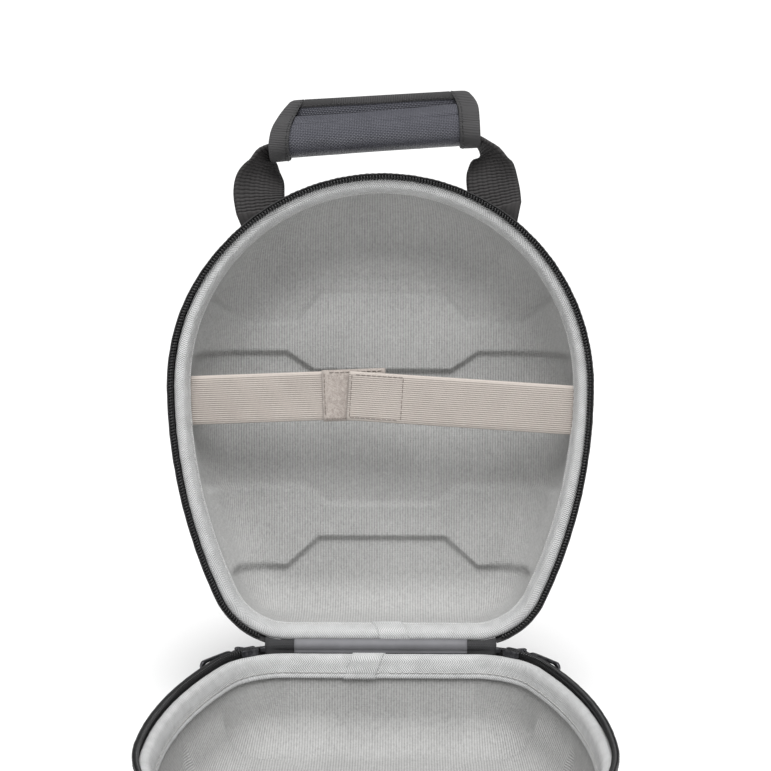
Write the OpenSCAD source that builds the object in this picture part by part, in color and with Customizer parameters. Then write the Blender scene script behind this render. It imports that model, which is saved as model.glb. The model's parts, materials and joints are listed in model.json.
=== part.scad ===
/* [Outline] */
// Radius of the round front end
front_r = 104; // [95:1:115]
// Radius of the flatter side arcs
side_r = 253.5; // [240:0.5:280]
// Distance from the front arc's centre to the corner arcs' centres
corner_drop = 92; // [86:1:96]
// Half the length of the straight hinge edge
corner_x = 47; // [42:1:50]

/* [Moulded half] */
// Depth of each half, from its floor to its rim
shell_depth = 50; // [44:1:56]
// Thickness of the moulded wall
wall = 3.5; // [3:0.1:4]
// Thickness of the knitted lining
lining_t = 1.2; // [1:0.1:1.5]
// Lean of the side walls, in degrees
draft = 4; // [2:0.5:6]
// Radius of the shoulder between wall and floor at the front end
shoulder_front = 30; // [26:1:32]
// Radius of the shoulder between wall and floor at the hinge edge
shoulder_hinge = 12; // [10:1:24]
// Height of the embossed bands on the floor
band_h = 2; // [1:0.1:2.4]

/* [Opening] */
// Angle between the two halves
open_angle = 98; // [60:1:110]

/* [Zip] */
// Gap between the two rims when the case is closed
zip_gap = 11; // [10:0.5:12]
// Thickness of the zip's woven tape
tape_t = 0.8; // [0.6:0.1:1]
// Height and width of one row of teeth
teeth = 2.6; // [2:0.1:3]
// Length of a slider's body
slider_l = 11; // [9:0.5:12]
// Length of a slider's pull
pull_l = 27; // [20:1:32]

/* [Hinge strip] */
// Width of the woven hinge strip
leaf_w = 114; // [104:1:118]
// Width of the smooth facing inside it
facing_w = 87; // [80:1:90]

/* [Handle] */
// Width of the webbing
webbing_w = 25; // [22:1:28]
// Thickness of the webbing
webbing_t = 1.6; // [1.4:0.1:2]
// Angle of the left webbing end from the middle of the front arc
left_anchor = 35; // [32:0.5:36]
// Angle of the right webbing end from the middle of the front arc
right_anchor = 33; // [31:0.5:34]
// Length of the padded grip
grip_l = 105; // [95:1:110]
// Height of the padded grip, without its flap
grip_h = 22; // [18:1:24]
// Depth of the padded grip
grip_d = 27; // [24:1:30]
// Lean of the grip, in degrees
grip_lean = 3.3; // [0:0.1:4]

/* [Elastic strap] */
// Width of the elastic
strap_w = 25; // [20:1:30]
// Thickness of the elastic
strap_t = 1.5; // [1.2:0.1:1.8]
// Height of the strap over the floor
strap_z = 37; // [34:1:38]

/* [Hidden] */

shell_colour = "#26262a";
lining_colour = "#a9a9a9";
binding_colour = "#cfcfcf";
tape_colour = "#2b2a2a";
webbing_colour = "#2f2c2c";
grip_colour = "#55555f";
elastic_colour = "#beb4ac";
metal_colour = "#8a8a8c";

touch = 0.1;        // sewn layers lie this far apart
clear = 0.3;        // bodies that move past each other keep at least this gap

// The outline is four arcs and one straight edge. +Y runs from the front end to the hinge.
side_x = side_r - front_r;
corner_angle = atan2(corner_drop, side_x + corner_x);
corner_r = side_r - norm([corner_drop, side_x + corner_x]);
arc_y = front_r - (front_r + corner_drop + corner_r) / 2;
corner_y = arc_y + corner_drop;
flat_y = corner_y + corner_r;

front_steps = 32;
side_steps = 5;
corner_steps = 9;
flat_steps = 2;

// Each station on the outline is [arc's centre x, arc's centre y, arc's radius, angle].
function right_side() = [for (k = [1:side_steps])
    [-side_x, arc_y, side_r, corner_angle * k / side_steps]];
function right_corner() = [for (k = [1:corner_steps])
    [corner_x, corner_y, corner_r, corner_angle + (90 - corner_angle) * k / corner_steps]];
function flipped(list) = [for (k = [len(list) - 1:-1:0])
    [-list[k][0], list[k][1], list[k][2], 180 - list[k][3]]];
front_end = [for (k = [0:front_steps]) [0, arc_y, front_r, -180 + 180 * k / front_steps]];
hinge_edge = [for (k = [1:flat_steps - 1])
    [corner_x * (1 - 2 * k / flat_steps), corner_y, corner_r, 90]];
stations = concat(front_end, right_side(), right_corner(), hinge_edge,
    flipped(right_corner()), flipped(right_side()));

// The zip runs round everything but the hinge strip.
zip_end = acos((leaf_w / 2 + 3.8 - corner_x) / corner_r);
zip_corner = [for (k = [1:corner_steps])
    [corner_x, corner_y, corner_r, corner_angle + (zip_end - corner_angle) * k / corner_steps]];
zip_stations = concat(flipped(zip_corner), flipped(right_side()), front_end, right_side(),
    zip_corner);

// The point on a station's normal, inset from the outline
function spot(st, inset) =
    [st[0] + (st[2] - inset) * cos(st[3]), st[1] + (st[2] - inset) * sin(st[3])];

// The shoulder tightens evenly from the front end to the hinge edge.
function shoulder(st) = shoulder_front
    + (shoulder_hinge - shoulder_front) * (spot(st, 0)[1] + flat_y) / (2 * flat_y);
function lean(z) = (shell_depth - z) * tan(draft);

// A point of the surface that lies `deep` inside the outer one, at angle `a` round the shoulder
function wall_point(st, deep, a) =
    let (r = shoulder(st), p = spot(st, lean(r) + deep + (r - deep) * (1 - cos(a))))
    [p[0], p[1], r - (r - deep) * sin(a)];
function rim_point(st, deep) = let (p = spot(st, deep)) [p[0], p[1], shell_depth];

// Joins rows of points into a solid. Each row is a loop, counterclockwise about the way along.
// strip: each row runs out along one side of a band and back along the other
module skin(rows, looped = false, strip = false) {
    n = len(rows);
    m = len(rows[0]);
    sides = [for (i = [0:looped ? n - 1 : n - 2], j = [0:m - 1])
        let (a = i * m + j, b = i * m + (j + 1) % m,
             c = (i + 1) % n * m + (j + 1) % m, d = (i + 1) % n * m + j)
        each [[a, d, c], [a, c, b]]];
    last = (n - 1) * m;
    caps = looped ? []
        : strip ? [for (j = [0:m / 2 - 2]) let (k = m - 1 - j)
            each [[j, j + 1, k - 1], [j, k - 1, k],
                [last + k, last + k - 1, last + j + 1], [last + k, last + j + 1, last + j]]]
        : [[for (j = [0:m - 1]) j], [for (j = [m - 1:-1:0]) last + j]];
    polyhedron([for (row = rows) each row], concat(sides, caps), convexity = 10);
}

shoulder_steps = 5;
// A bowl between two depths below the outer surface
module bowl(outer, inner) {
    up = [for (k = [shoulder_steps:-1:0]) 90 * k / shoulder_steps];
    down = [for (k = [0:shoulder_steps]) 90 * k / shoulder_steps];
    skin(concat(
        [for (a = up) [for (st = stations) wall_point(st, outer, a)]],
        [[for (st = stations) rim_point(st, outer)], [for (st = stations) rim_point(st, inner)]],
        [for (a = down) [for (st = stations) wall_point(st, inner, a)]]));
}

// Sweeps a section of [inset, z] points, counterclockwise, along a run of stations
module sweep(section, path, looped = false) {
    skin([for (st = path) [for (q = section) let (p = spot(st, q[0])) [p[0], p[1], q[1]]]],
        looped);
}

// The two embossed bands, as [x, distance from the front arc's centre towards the front]
module bands(from, height, grow = 0) {
    upper = [[-68 - grow, 31.5 + grow], [-45, 31.5 + grow], [-32, 46.5 + grow],
             [32, 46.5 + grow], [45, 31.5 + grow], [68 + grow, 31.5 + grow],
             [68 + grow, 14.5 - grow], [50, 14.5 - grow], [36, 5 - grow],
             [-36, 5 - grow], [-50, 14.5 - grow], [-68 - grow, 14.5 - grow]];
    lower = [[-68 - grow, -55 + grow], [-41, -55 + grow], [-28, -65 + grow],
             [28, -65 + grow], [41, -55 + grow], [68 + grow, -55 + grow],
             [68 + grow, -96 - grow], [50, -96 - grow], [33, -82.5 - grow],
             [-33, -82.5 - grow], [-50, -96 - grow], [-68 - grow, -96 - grow]];
    translate([0, arc_y, from]) mirror([0, 1, 0]) linear_extrude(height) {
        polygon(upper);
        polygon(lower);
    }
}

// ---- One half of the case, floor down; the base and the lid share it ----

module half_shell() {
    difference() {
        union() {
            bowl(0, wall);
            bands(wall - 1, band_h + 1);
        }
        bands(-1, band_h + 1);
    }
}

module half_lining() {
    top = wall + lining_t;
    difference() {
        union() {
            bowl(wall + touch / 2, top);
            bands(top - 0.5, band_h + 0.5, lining_t);
        }
        bands(wall - 1, band_h + 1 + touch / 2, touch);
    }
}

binding_top = shell_depth + 1.6;
binding_in = 6.9;
binding_low = 40.6;

// Woven tape that folds over the rim and down the inside
module half_binding() {
    inner_face = wall + lining_t;
    sweep([[0, shell_depth + touch], [inner_face + 0.1, shell_depth + touch],
        [inner_face + lean(binding_low) + touch, binding_low],
        [binding_in, binding_low], [6.6, 44], [6, 47.5], [5, 50.1],
        [3.4, binding_top - 0.3], [1.6, binding_top], [0.3, binding_top - 0.6]],
        stations, true);
}

tape_low = shell_depth - 6;
teeth_top = shell_depth + zip_gap / 2 - clear / 2;
teeth_low = teeth_top - teeth;

module half_tape() {
    sweep([[-touch - tape_t, tape_low], [-touch, tape_low], [-touch, shell_depth],
        [-0.5, teeth_low - 0.05], [-0.5 - tape_t, teeth_low - 0.05],
        [-touch - tape_t, shell_depth]], zip_stations);
}

teeth_out = 1.9;
module half_teeth() {
    sweep([[-teeth_out, teeth_low + 0.6], [-teeth_out + 0.6, teeth_low], [teeth - teeth_out, teeth_low],
        [teeth - teeth_out, teeth_top - 0.3], [-teeth_out + 0.6, teeth_top],
        [-teeth_out, teeth_top - 0.6]], zip_stations);
}

leaf_t = 1;
leaf_low = shell_depth - 9;
hinge_y = flat_y + touch + leaf_t + clear;
hinge_z = shell_depth + zip_gap / 2;

// Half of the woven strip that joins the two halves
module half_leaf() {
    translate([-corner_x, flat_y + touch, leaf_low])
        cube([2 * corner_x, leaf_t, hinge_z - clear / 2 - leaf_low]);
    for (side = [-1, 1])
        translate([side > 0 ? corner_x : -leaf_w / 2, flat_y + touch, binding_top])
            cube([leaf_w / 2 - corner_x, leaf_t, hinge_z - clear / 2 - binding_top]);
}

facing_t = 0.8;
// Smooth facing on the inside of the strip
module half_facing() {
    translate([-facing_w / 2, flat_y + touch - facing_t, binding_top + touch])
        cube([facing_w, facing_t, hinge_z - clear / 2 - binding_top - touch]);
}

// ---- Sliders on the base's half of the zip ----

slider_x = 66;
slider_a = acos((slider_x - corner_x) / corner_r);
plate_t = 1.1;
plate_in = teeth_out + 0.3;
plate_low = shell_depth + 0.2;
pin_r = 0.8;
pin_out = plate_in + plate_t + 1.5;
pull_t = 1.6;
pull_w = 5.2;
pull_lean = 22;     // turns the pull in towards the side of the case
pin_x = 1.3 - slider_l / 2;
ear_gap = 3.4;
ear_t = 0.8;
slider_mid = (plate_low + teeth_top) / 2;

// X along the chain towards the hinge, Y outward, Z towards the other half
module on_slider(side) {
    mirror([side < 0 ? 1 : 0, 0, 0])
        translate([corner_x, corner_y, 0]) rotate([0, 0, slider_a]) translate([corner_r, 0, 0])
            rotate([0, 0, 90]) mirror([0, 1, 0]) children();
}

module slider(side) {
    inner_low = binding_top + 0.3;
    inner_y = 1 - plate_in - plate_t;
    wedge_t = 0.24;
    color(metal_colour) on_slider(side) {
        // outer plate
        translate([-slider_l / 2, plate_in, plate_low])
            cube([slider_l, plate_t, teeth_top - plate_low]);
        // inner plate, over the binding
        translate([-slider_l / 2 + 1, inner_y, inner_low])
            cube([slider_l - 2, plate_t, teeth_top - inner_low]);
        // the thin wedge that keeps the two rows of teeth apart and joins the plates
        translate([slider_l / 2 - 3.5, inner_y, teeth_top + 0.03])
            cube([2.5, plate_in + plate_t - inner_y, wedge_t]);
        for (y = [inner_y, plate_in])
            translate([slider_l / 2 - 3.5, y, teeth_top - 1])
                cube([2.5, plate_t, 1.03 + wedge_t]);
        // ears and pin for the pull
        for (up = [-1, 1])
            translate([pin_x - pin_r - 0.5, plate_in + plate_t / 2,
                slider_mid + up * (ear_gap + ear_t) / 2 - ear_t / 2])
                cube([2 * pin_r + 1.4, pin_out - plate_in + 0.5, ear_t]);
        translate([pin_x, pin_out, slider_mid - ear_gap / 2 - ear_t])
            cylinder(h = ear_gap + 2 * ear_t, r = pin_r, $fn = 24);
    }
}

// Metal tab that lies back along the chain and turns on the slider's pin
module pull(side) {
    eye_r = pin_r + 0.15;
    rim_r = eye_r + 0.35;
    neck = ear_gap - 2 * clear;
    neck_l = 4;
    hole_r = 1.6;
    tip = pull_w / 2 - pull_l;
    color(metal_colour) on_slider(side) translate([pin_x, pin_out, slider_mid])
        rotate([0, 0, pull_lean]) {
            difference() {
                union() {
                    translate([0, 0, -neck / 2]) cylinder(h = neck, r = rim_r, $fn = 32);
                    translate([-neck_l, -0.5, -neck / 2]) cube([neck_l, 1, neck]);
                }
                translate([0, 0, -neck]) cylinder(h = 2 * neck, r = eye_r, $fn = 32);
            }
            translate([tip, 0, 0]) rotate([90, 0, 0]) difference() {
                linear_extrude(pull_t, center = true) {
                    translate([0, -pull_w / 2]) square([-tip - neck_l + 0.5, pull_w]);
                    circle(d = pull_w, $fn = 48);
                }
                cylinder(h = 2 * pull_t, r = hole_r, center = true, $fn = 32);
            }
        }
}

// Small clamps that close the ends of both rows of teeth
module zip_end_stops() {
    stop_l = 2.4;
    color(metal_colour) for (side = [-1, 1]) mirror([side < 0 ? 1 : 0, 0, 0])
        translate([corner_x, corner_y, 0]) rotate([0, 0, zip_end]) translate([corner_r, 0, 0])
            translate([-teeth + teeth_out, 0.3, teeth_low]) cube([teeth, stop_l, teeth - 0.2]);
}

// ---- Lid: the same half turned over and swung open about the hinge line ----

module opened() {
    translate([0, hinge_y, hinge_z]) rotate([-open_angle, 0, 0])
        translate([0, -hinge_y, hinge_z]) mirror([0, 0, 1]) children();
}

// On the lid: X across, Y towards the front end from the arc's centre, Z towards the rim
module on_lid() {
    opened() translate([0, arc_y, 0]) mirror([0, 1, 0]) children();
}

function anchor(side) = side < 0 ? left_anchor : right_anchor;
bend_z = 36.2;      // height over the lid's floor at which the webbing leaves the wall
tail_low = 7;
tail_top = bend_z - 7.2;
tail_steps = 6;

// The webbing's sewn end, which hugs the curve of the wall
module webbing_tail(side) {
    half_a = webbing_w / 2 / front_r * 180 / PI;
    mid_a = -90 + side * anchor(side);
    patch = [for (k = [-3:3]) [0, arc_y, front_r, mid_a + half_a * k / 3]];
    levels = [for (k = [0:tail_steps]) tail_low + (tail_top - tail_low) * k / tail_steps];
    color(webbing_colour) opened() skin([for (st = patch)
        let (r = shoulder(st))
        concat([for (z = levels) tail_point(st, z, touch)],
            [for (k = [tail_steps:-1:0]) tail_point(st, levels[k], touch + webbing_t)])],
        strip = true);
}

// The outer surface at height z, moved out by `out`
function tail_point(st, z, out) =
    let (r = shoulder(st), a = asin((r - min(z, r)) / r),
         p = spot(st, lean(max(z, r)) + (r + out) * (1 - cos(a)) - out))
    [p[0], p[1], z - out * sin(a)];

// The handle's ribbon: [point, direction across the ribbon, half width, thickness]
root_r = front_r - lean(bend_z) + 1.1;
grip_z = bend_z;
grip_at = [-4, 127, grip_z];
grip_dir = [cos(grip_lean), sin(grip_lean), 0];
grip_low = 4;       // the webbing runs this far below the grip's middle at its ends
slot_w = 14;
slot_t = 3;
half_w = webbing_w / 2;

function root_key(side, reach) = let (a = anchor(side))
    [[side * sin(a), cos(a), 0] * (root_r + reach) + [0, 0, grip_z],
     [-side * cos(a), sin(a), 0], half_w, webbing_t];
function left_leg() = [
    root_key(-1, 0), root_key(-1, 3), root_key(-1, 7),
    [[-63, 103, grip_z], [0.95, 0.3, 0], half_w, webbing_t],
    [[-63, 111, grip_z], [0.6, 0.1, -0.8], half_w - 1.5, webbing_t],
    [[-60.5, 118.5, grip_z], [0.1, 0, -1], half_w - 4, webbing_t + 0.5]];
function in_grip() = [for (x = [-grip_l / 2 + 2, 0, grip_l / 2 - 2])
    [grip_at + x * grip_dir + [0, x * x / 900 - grip_low, 0], [0, 0, -1], slot_w / 2, slot_t]];
function right_leg() = [
    [[52.5, 124, grip_z], [-0.2, 0, -0.95], half_w - 4, webbing_t + 0.5],
    [[55.8, 117, grip_z], [-0.7, 0, -0.65], half_w - 1.5, webbing_t],
    [[57, 104.5, grip_z], [-0.97, 0.2, 0], half_w, webbing_t],
    root_key(1, 7), root_key(1, 3), root_key(1, 0)];

ribbon_steps = 6;
// A smooth curve through the middle two of four values
function blend4(a, b, c, d, t) = 0.5 * (2 * b + (c - a) * t + (2 * a - 5 * b + 4 * c - d) * t * t
    + (3 * b - a - 3 * c + d) * t * t * t);
function along(key, i, t, part) = let (n = len(key) - 1)
    blend4(key[max(i - 1, 0)][part], key[i][part], key[i + 1][part], key[min(i + 2, n)][part], t);
function unit(v) = v / norm(v);

module ribbon(key) {
    fine = concat([for (i = [0:len(key) - 2], k = [0:ribbon_steps - 1])
        let (t = k / ribbon_steps)
        [along(key, i, t, 0), along(key, i, t, 1), along(key, i, t, 2), along(key, i, t, 3)]],
        [key[len(key) - 1]]);
    n = len(fine);
    skin([for (i = [0:n - 1])
        let (p = fine[i], way = unit(fine[min(i + 1, n - 1)][0] - fine[max(i - 1, 0)][0]),
             across = unit(p[1] - (p[1] * way) * way) * p[2],
             up = unit(cross(way, across)) * p[3] / 2)
        concat([for (k = [2:-1:-2]) p[0] + across * k / 2 + up],
            [for (k = [-2:2]) p[0] + across * k / 2 - up])]);
}

module handle_webbing() {
    color(webbing_colour) on_lid() ribbon(concat(left_leg(), in_grip(), right_leg()));
}

// Grip's own axes: X along it, Y up, Z towards the rim's side
module on_grip() {
    on_lid() translate(grip_at) rotate([0, 0, grip_lean]) children();
}

// An oval bar along X
module oval(length, h, d) {
    square_up = 0.75;   // below 1, the oval grows squarer
    rotate([90, 0, 90]) linear_extrude(length, center = true) polygon([for (a = [0:10:350])
        [h / 2 * sign(cos(a)) * pow(abs(cos(a)), square_up),
         d / 2 * sign(sin(a)) * pow(abs(sin(a)), square_up)]]);
}

cover_t = 1.3;
end_tape_w = 9.5;
end_tape_t = 0.8;
fin_h = 7.2;
fin_low = grip_h / 2 + 0.15;
flap_t = 1.5;
hook_t = 0.8;

// Foam round the webbing
module grip_padding() {
    inside = 2 * (cover_t + touch);
    color("#3c3c40") on_grip() difference() {
        oval(grip_l - 4, grip_h - inside, grip_d - inside);
        translate([0, -grip_low + 1.2, 0]) cube([grip_l, slot_t + 4.4, slot_w + 1], center = true);
    }
}

// Woven sleeve round the foam, with the back half of the closing fin
module grip_cover() {
    color(grip_colour) on_grip() {
        difference() {
            oval(grip_l, grip_h, grip_d);
            oval(grip_l + 2, grip_h - 2 * cover_t, grip_d - 2 * cover_t);
        }
        translate([-grip_l / 2 + end_tape_w, grip_h / 2 - cover_t, -flap_t])
            cube([grip_l - 2 * end_tape_w, cover_t + fin_h, flap_t]);
    }
}

// Ribbed tape sewn round both ends
module grip_end_bindings() {
    color("#45454a") on_grip() for (side = [-1, 1])
        translate([side * (grip_l - end_tape_w + 1) / 2, 0, 0]) difference() {
            oval(end_tape_w + 1, grip_h + 2 * end_tape_t + touch, grip_d + 2 * end_tape_t + touch);
            oval(end_tape_w + 3, grip_h + touch, grip_d + touch);
        }
}

strip_l = grip_l - 2 * end_tape_w - 4;
module grip_loop_strip() {
    color("#303034") on_grip() translate([-strip_l / 2, fin_low + 0.4, 0])
        cube([strip_l, fin_h - 0.8, hook_t]);
}

flap_z = 2 * hook_t + clear;
flap_l = grip_l - 2 * end_tape_w - 1;
module grip_flap() {
    color(grip_colour) on_grip() translate([-flap_l / 2, fin_low + clear, flap_z])
        cube([flap_l, fin_h - clear - end_tape_t, flap_t]);
}

// Tape folded over the flap's free edge
module grip_flap_binding() {
    tape_h = 2.6;
    color("#45454a") on_grip() difference() {
        translate([-flap_l / 2 - end_tape_t, fin_low + fin_h - tape_h, flap_z - end_tape_t / 2])
            cube([flap_l + 2 * end_tape_t, tape_h, flap_t + 1.5 * end_tape_t]);
        translate([-flap_l / 2 - touch / 2, fin_low, flap_z - end_tape_t])
            cube([flap_l + touch, fin_h - end_tape_t + touch / 2, flap_t + end_tape_t]);
    }
}

module grip_hook_strip() {
    color("#303034") on_grip() translate([-strip_l / 2, fin_low + clear + 0.3, flap_z - hook_t])
        cube([strip_l, fin_h - 3.6, hook_t - touch]);
}

// ---- Elastic strap across the lid ----

patch_t = 1.1;
left_strap_end = [-front_r + wall + lining_t + lean(strap_z) + 1.1, -8.3];
right_strap_end = [front_r - binding_in - 1.9, -12.4];
strap_over = [-17, -5.2];        // where the upper half ends
strap_under = [2, -4.4];         // where the lower half ends
patch_from = -29.5;
upper_z = strap_z + strap_t + 2 * patch_t + clear + 0.1;

// A flat band between two points, with its ends square to it
module band(a, b, z, t, w) {
    way = atan2(b[1] - a[1], b[0] - a[0]);
    translate([a[0], a[1], z]) rotate([0, 0, way]) translate([0, -w / 2, 0])
        cube([norm(b - a), w, t]);
}

module left_strap() {
    color(elastic_colour) on_lid() band(left_strap_end, strap_under, strap_z, strap_t, strap_w);
}

module left_loop_patch() {
    run = strap_under - left_strap_end;
    from = left_strap_end + run * (patch_from - left_strap_end[0]) / run[0];
    color(elastic_colour) on_lid()
        band(from, strap_under, strap_z + strap_t + 0.05, patch_t, strap_w + 1);
}

module right_strap() {
    color(elastic_colour) on_lid()
        band(strap_over, right_strap_end, upper_z, strap_t, strap_w);
}

module right_hook_patch() {
    run = right_strap_end - strap_over;
    hook_l = 28;
    color(elastic_colour) on_lid()
        band(strap_over + run / norm(run), strap_over + run / norm(run) * hook_l,
            upper_z - patch_t - 0.05, patch_t, strap_w - 2);
}

// ---- Placed pieces ----

module base_shell() { color(shell_colour) half_shell(); }
module base_lining() { color(lining_colour) half_lining(); }
module base_binding() { color(binding_colour) half_binding(); }
module base_zip_tape() { color(tape_colour) half_tape(); }
module base_zip_teeth() { color(tape_colour) half_teeth(); }
module base_hinge_leaf() { color(tape_colour) half_leaf(); }
module base_hinge_facing() { color("#6e6e73") half_facing(); }
module left_slider() { slider(-1); }
module right_slider() { slider(1); }
module left_pull() { pull(-1); }
module right_pull() { pull(1); }
module lid_shell() { color(shell_colour) opened() half_shell(); }
module lid_lining() { color(lining_colour) opened() half_lining(); }
module lid_binding() { color(binding_colour) opened() half_binding(); }
module lid_zip_tape() { color(tape_colour) opened() half_tape(); }
module lid_zip_teeth() { color(tape_colour) opened() half_teeth(); }
module lid_hinge_leaf() { color(tape_colour) opened() half_leaf(); }
module lid_hinge_facing() { color("#6e6e73") opened() half_facing(); }
module left_webbing_tail() { webbing_tail(-1); }
module right_webbing_tail() { webbing_tail(1); }

base_shell();
base_lining();
base_binding();
base_zip_tape();
base_zip_teeth();
base_hinge_leaf();
base_hinge_facing();
zip_end_stops();
left_slider();
right_slider();
left_pull();
right_pull();
lid_shell();
lid_lining();
lid_binding();
lid_zip_tape();
lid_zip_teeth();
lid_hinge_leaf();
lid_hinge_facing();
left_webbing_tail();
right_webbing_tail();
handle_webbing();
grip_padding();
grip_cover();
grip_end_bindings();
grip_loop_strip();
grip_flap();
grip_flap_binding();
grip_hook_strip();
left_strap();
left_loop_patch();
right_strap();
right_hook_patch();
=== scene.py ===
"""Looks of an open headphone carrying case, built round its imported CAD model."""

import json
import math

import bmesh
import bpy
import numpy as np
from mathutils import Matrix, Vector


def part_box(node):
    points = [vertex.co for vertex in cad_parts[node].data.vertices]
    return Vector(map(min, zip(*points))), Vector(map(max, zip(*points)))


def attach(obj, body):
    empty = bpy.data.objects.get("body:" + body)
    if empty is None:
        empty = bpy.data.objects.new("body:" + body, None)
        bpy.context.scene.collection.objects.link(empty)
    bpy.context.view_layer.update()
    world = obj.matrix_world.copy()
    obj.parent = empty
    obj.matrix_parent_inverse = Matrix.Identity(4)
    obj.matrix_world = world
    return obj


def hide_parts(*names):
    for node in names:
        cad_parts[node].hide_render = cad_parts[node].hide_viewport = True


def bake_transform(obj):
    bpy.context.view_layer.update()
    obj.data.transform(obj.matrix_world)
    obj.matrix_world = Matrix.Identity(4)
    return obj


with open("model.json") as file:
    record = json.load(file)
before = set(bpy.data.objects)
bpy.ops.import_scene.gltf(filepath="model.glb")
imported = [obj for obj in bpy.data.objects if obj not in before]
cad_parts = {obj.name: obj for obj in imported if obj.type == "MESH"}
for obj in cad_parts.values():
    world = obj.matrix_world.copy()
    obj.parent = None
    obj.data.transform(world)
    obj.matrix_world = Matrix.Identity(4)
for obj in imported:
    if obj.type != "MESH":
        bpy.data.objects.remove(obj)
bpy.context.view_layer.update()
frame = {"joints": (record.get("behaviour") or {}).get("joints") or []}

# ---------- sizes, in millimetres
MM = 0.001
TURN = 2 * math.pi
# The round front end's radius, where the straight hinge edge lies, and each half's floor to its rim
FRONT_R, FLAT_Y, DEPTH = np.array(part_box("base_shell")[1]) / MM
SIDE_R = 253.5                   # the sides' slight curve
CORNER_X = 47.0                  # half the straight hinge edge, up to the round corners
CORNER_DROP = 92.0               # from the front arc's centre to the corners' centres
CORNER_R = SIDE_R - math.hypot(CORNER_DROP, SIDE_R - FRONT_R + CORNER_X)
CORNER_A = math.atan2(CORNER_DROP, SIDE_R - FRONT_R + CORNER_X)
ARC_Y = FLAT_Y - CORNER_R - CORNER_DROP
DRAFT = math.tan(math.radians(4))
WALL, LINING = 3.5, 1.2

hinge = next(j for j in frame["joints"] if j["name"] == "lid_hinge")
HINGE_Y, HINGE_Z = hinge["pos_m"][1] / MM, hinge["pos_m"][2] / MM
OPEN = math.radians(-hinge["range_deg"][0])

GRIP_AT = np.array([-4.0, 127.0, 36.2])
GRIP_LEAN = math.radians(3.3)
GRIP_L, GRIP_H, GRIP_D = 105.0, 22.0, 27.0
END_TAPE = 9.5                   # how far the ribbed tape covers each end of the grip
FIN_LOW, FIN_TOP = GRIP_H / 2 + 0.15, GRIP_H / 2 + 7.35
FIN_MID, FIN_D = 1.35, 5.7       # the fin's middle and thickness, across the grip
CUT_FROM = 20.0                  # the grip's cut-back corners start this far from its middle
ANCHOR_A = {-1: math.radians(35), 1: math.radians(33)}
WEB_W, WEB_T = 25.0, 1.6
WEB_OUT = (0.15, 0.15 + WEB_T)   # the sewn tail's two faces, from the shell
BEND_Z, BEND_R = 36.2, 3.2       # where the webbing leaves the wall, and how tightly it turns
WEB_ROOT = FRONT_R - (DEPTH - BEND_Z) * DRAFT
SPAN = np.linspace(-1, 1, 15)    # points across a band
INNER_L = 56.0                   # the part of the webbing's run in the grip that only moves with the handle
STRAP_W, STRAP_T, STRAP_Z = 25.0, 1.5, 37.0
UPPER_Z = 41.1                   # the right half lies over the left one's end


# ---------- places
def on_lid(p):
    """A half's own millimetres (floor down) turned over and swung open, as the lid lies at rest."""
    p = np.asarray(p, float)
    y, z = p[..., 1] - HINGE_Y, HINGE_Z - p[..., 2]
    c, s = math.cos(OPEN), math.sin(OPEN)
    return np.stack([p[..., 0], HINGE_Y + y * c + z * s, HINGE_Z - y * s + z * c], -1)


def on_base(p):
    return np.asarray(p, float)


def on_face(p):
    """The lid seen from its open side: x across, y up from the front arc's centre, z to the rim."""
    p = np.asarray(p, float)
    return on_lid(np.stack([p[..., 0], ARC_Y - p[..., 1], p[..., 2]], -1))


# The grip's two upper corners: [side, how far the top is cut back, height at which that starts]
GRIP_CORNERS = ((-1, 14.0, -7.0), (1, 7.0, 8.0))


def on_grip(p):
    """The grip's own axes: x along it, y up, z towards the rim's side; worn in to a lopsided arch."""
    p = np.array(p, float)
    top = FIN_TOP + 1.6
    for side, back, start in GRIP_CORNERS:
        t = np.clip((p[..., 1] - start) / (top - start), 0, 1)
        near = np.clip((side * p[..., 0] - CUT_FROM) / (GRIP_L / 2 - CUT_FROM), 0, 1)
        p[..., 0] -= side * back * t ** 2.2 * near
    low = np.clip(-p[..., 1] / (GRIP_H / 2), 0, 1)
    t = np.clip(p[..., 0] / GRIP_L, -0.5, 0.5)
    p[..., 1] += low * (1.5 * (0.5 + t) + 1.1 * (1 - 4 * t * t))
    c, s = math.cos(GRIP_LEAN), math.sin(GRIP_LEAN)
    turned = np.stack([p[..., 0] * c - p[..., 1] * s, p[..., 0] * s + p[..., 1] * c, p[..., 2]], -1)
    return on_face(turned + GRIP_AT)


HALVES = {"base": on_base, "lid": on_lid}
SIDES = {-1: "left", 1: "right"}

# ---------- the outline
CORNER_L = CORNER_R * (math.pi / 2 - CORNER_A)
SIDE_L = SIDE_R * CORNER_A
FRONT_L = math.pi * FRONT_R
STOPS = np.cumsum([CORNER_X, CORNER_L, SIDE_L, FRONT_L, SIDE_L, CORNER_L, CORNER_X])
ROUND = STOPS[-1]
ZIP_PAST = 13.8                  # how far the teeth stop past the end of the straight edge
ZIP_FROM = CORNER_X + CORNER_R * math.asin(ZIP_PAST / CORNER_R)


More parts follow.
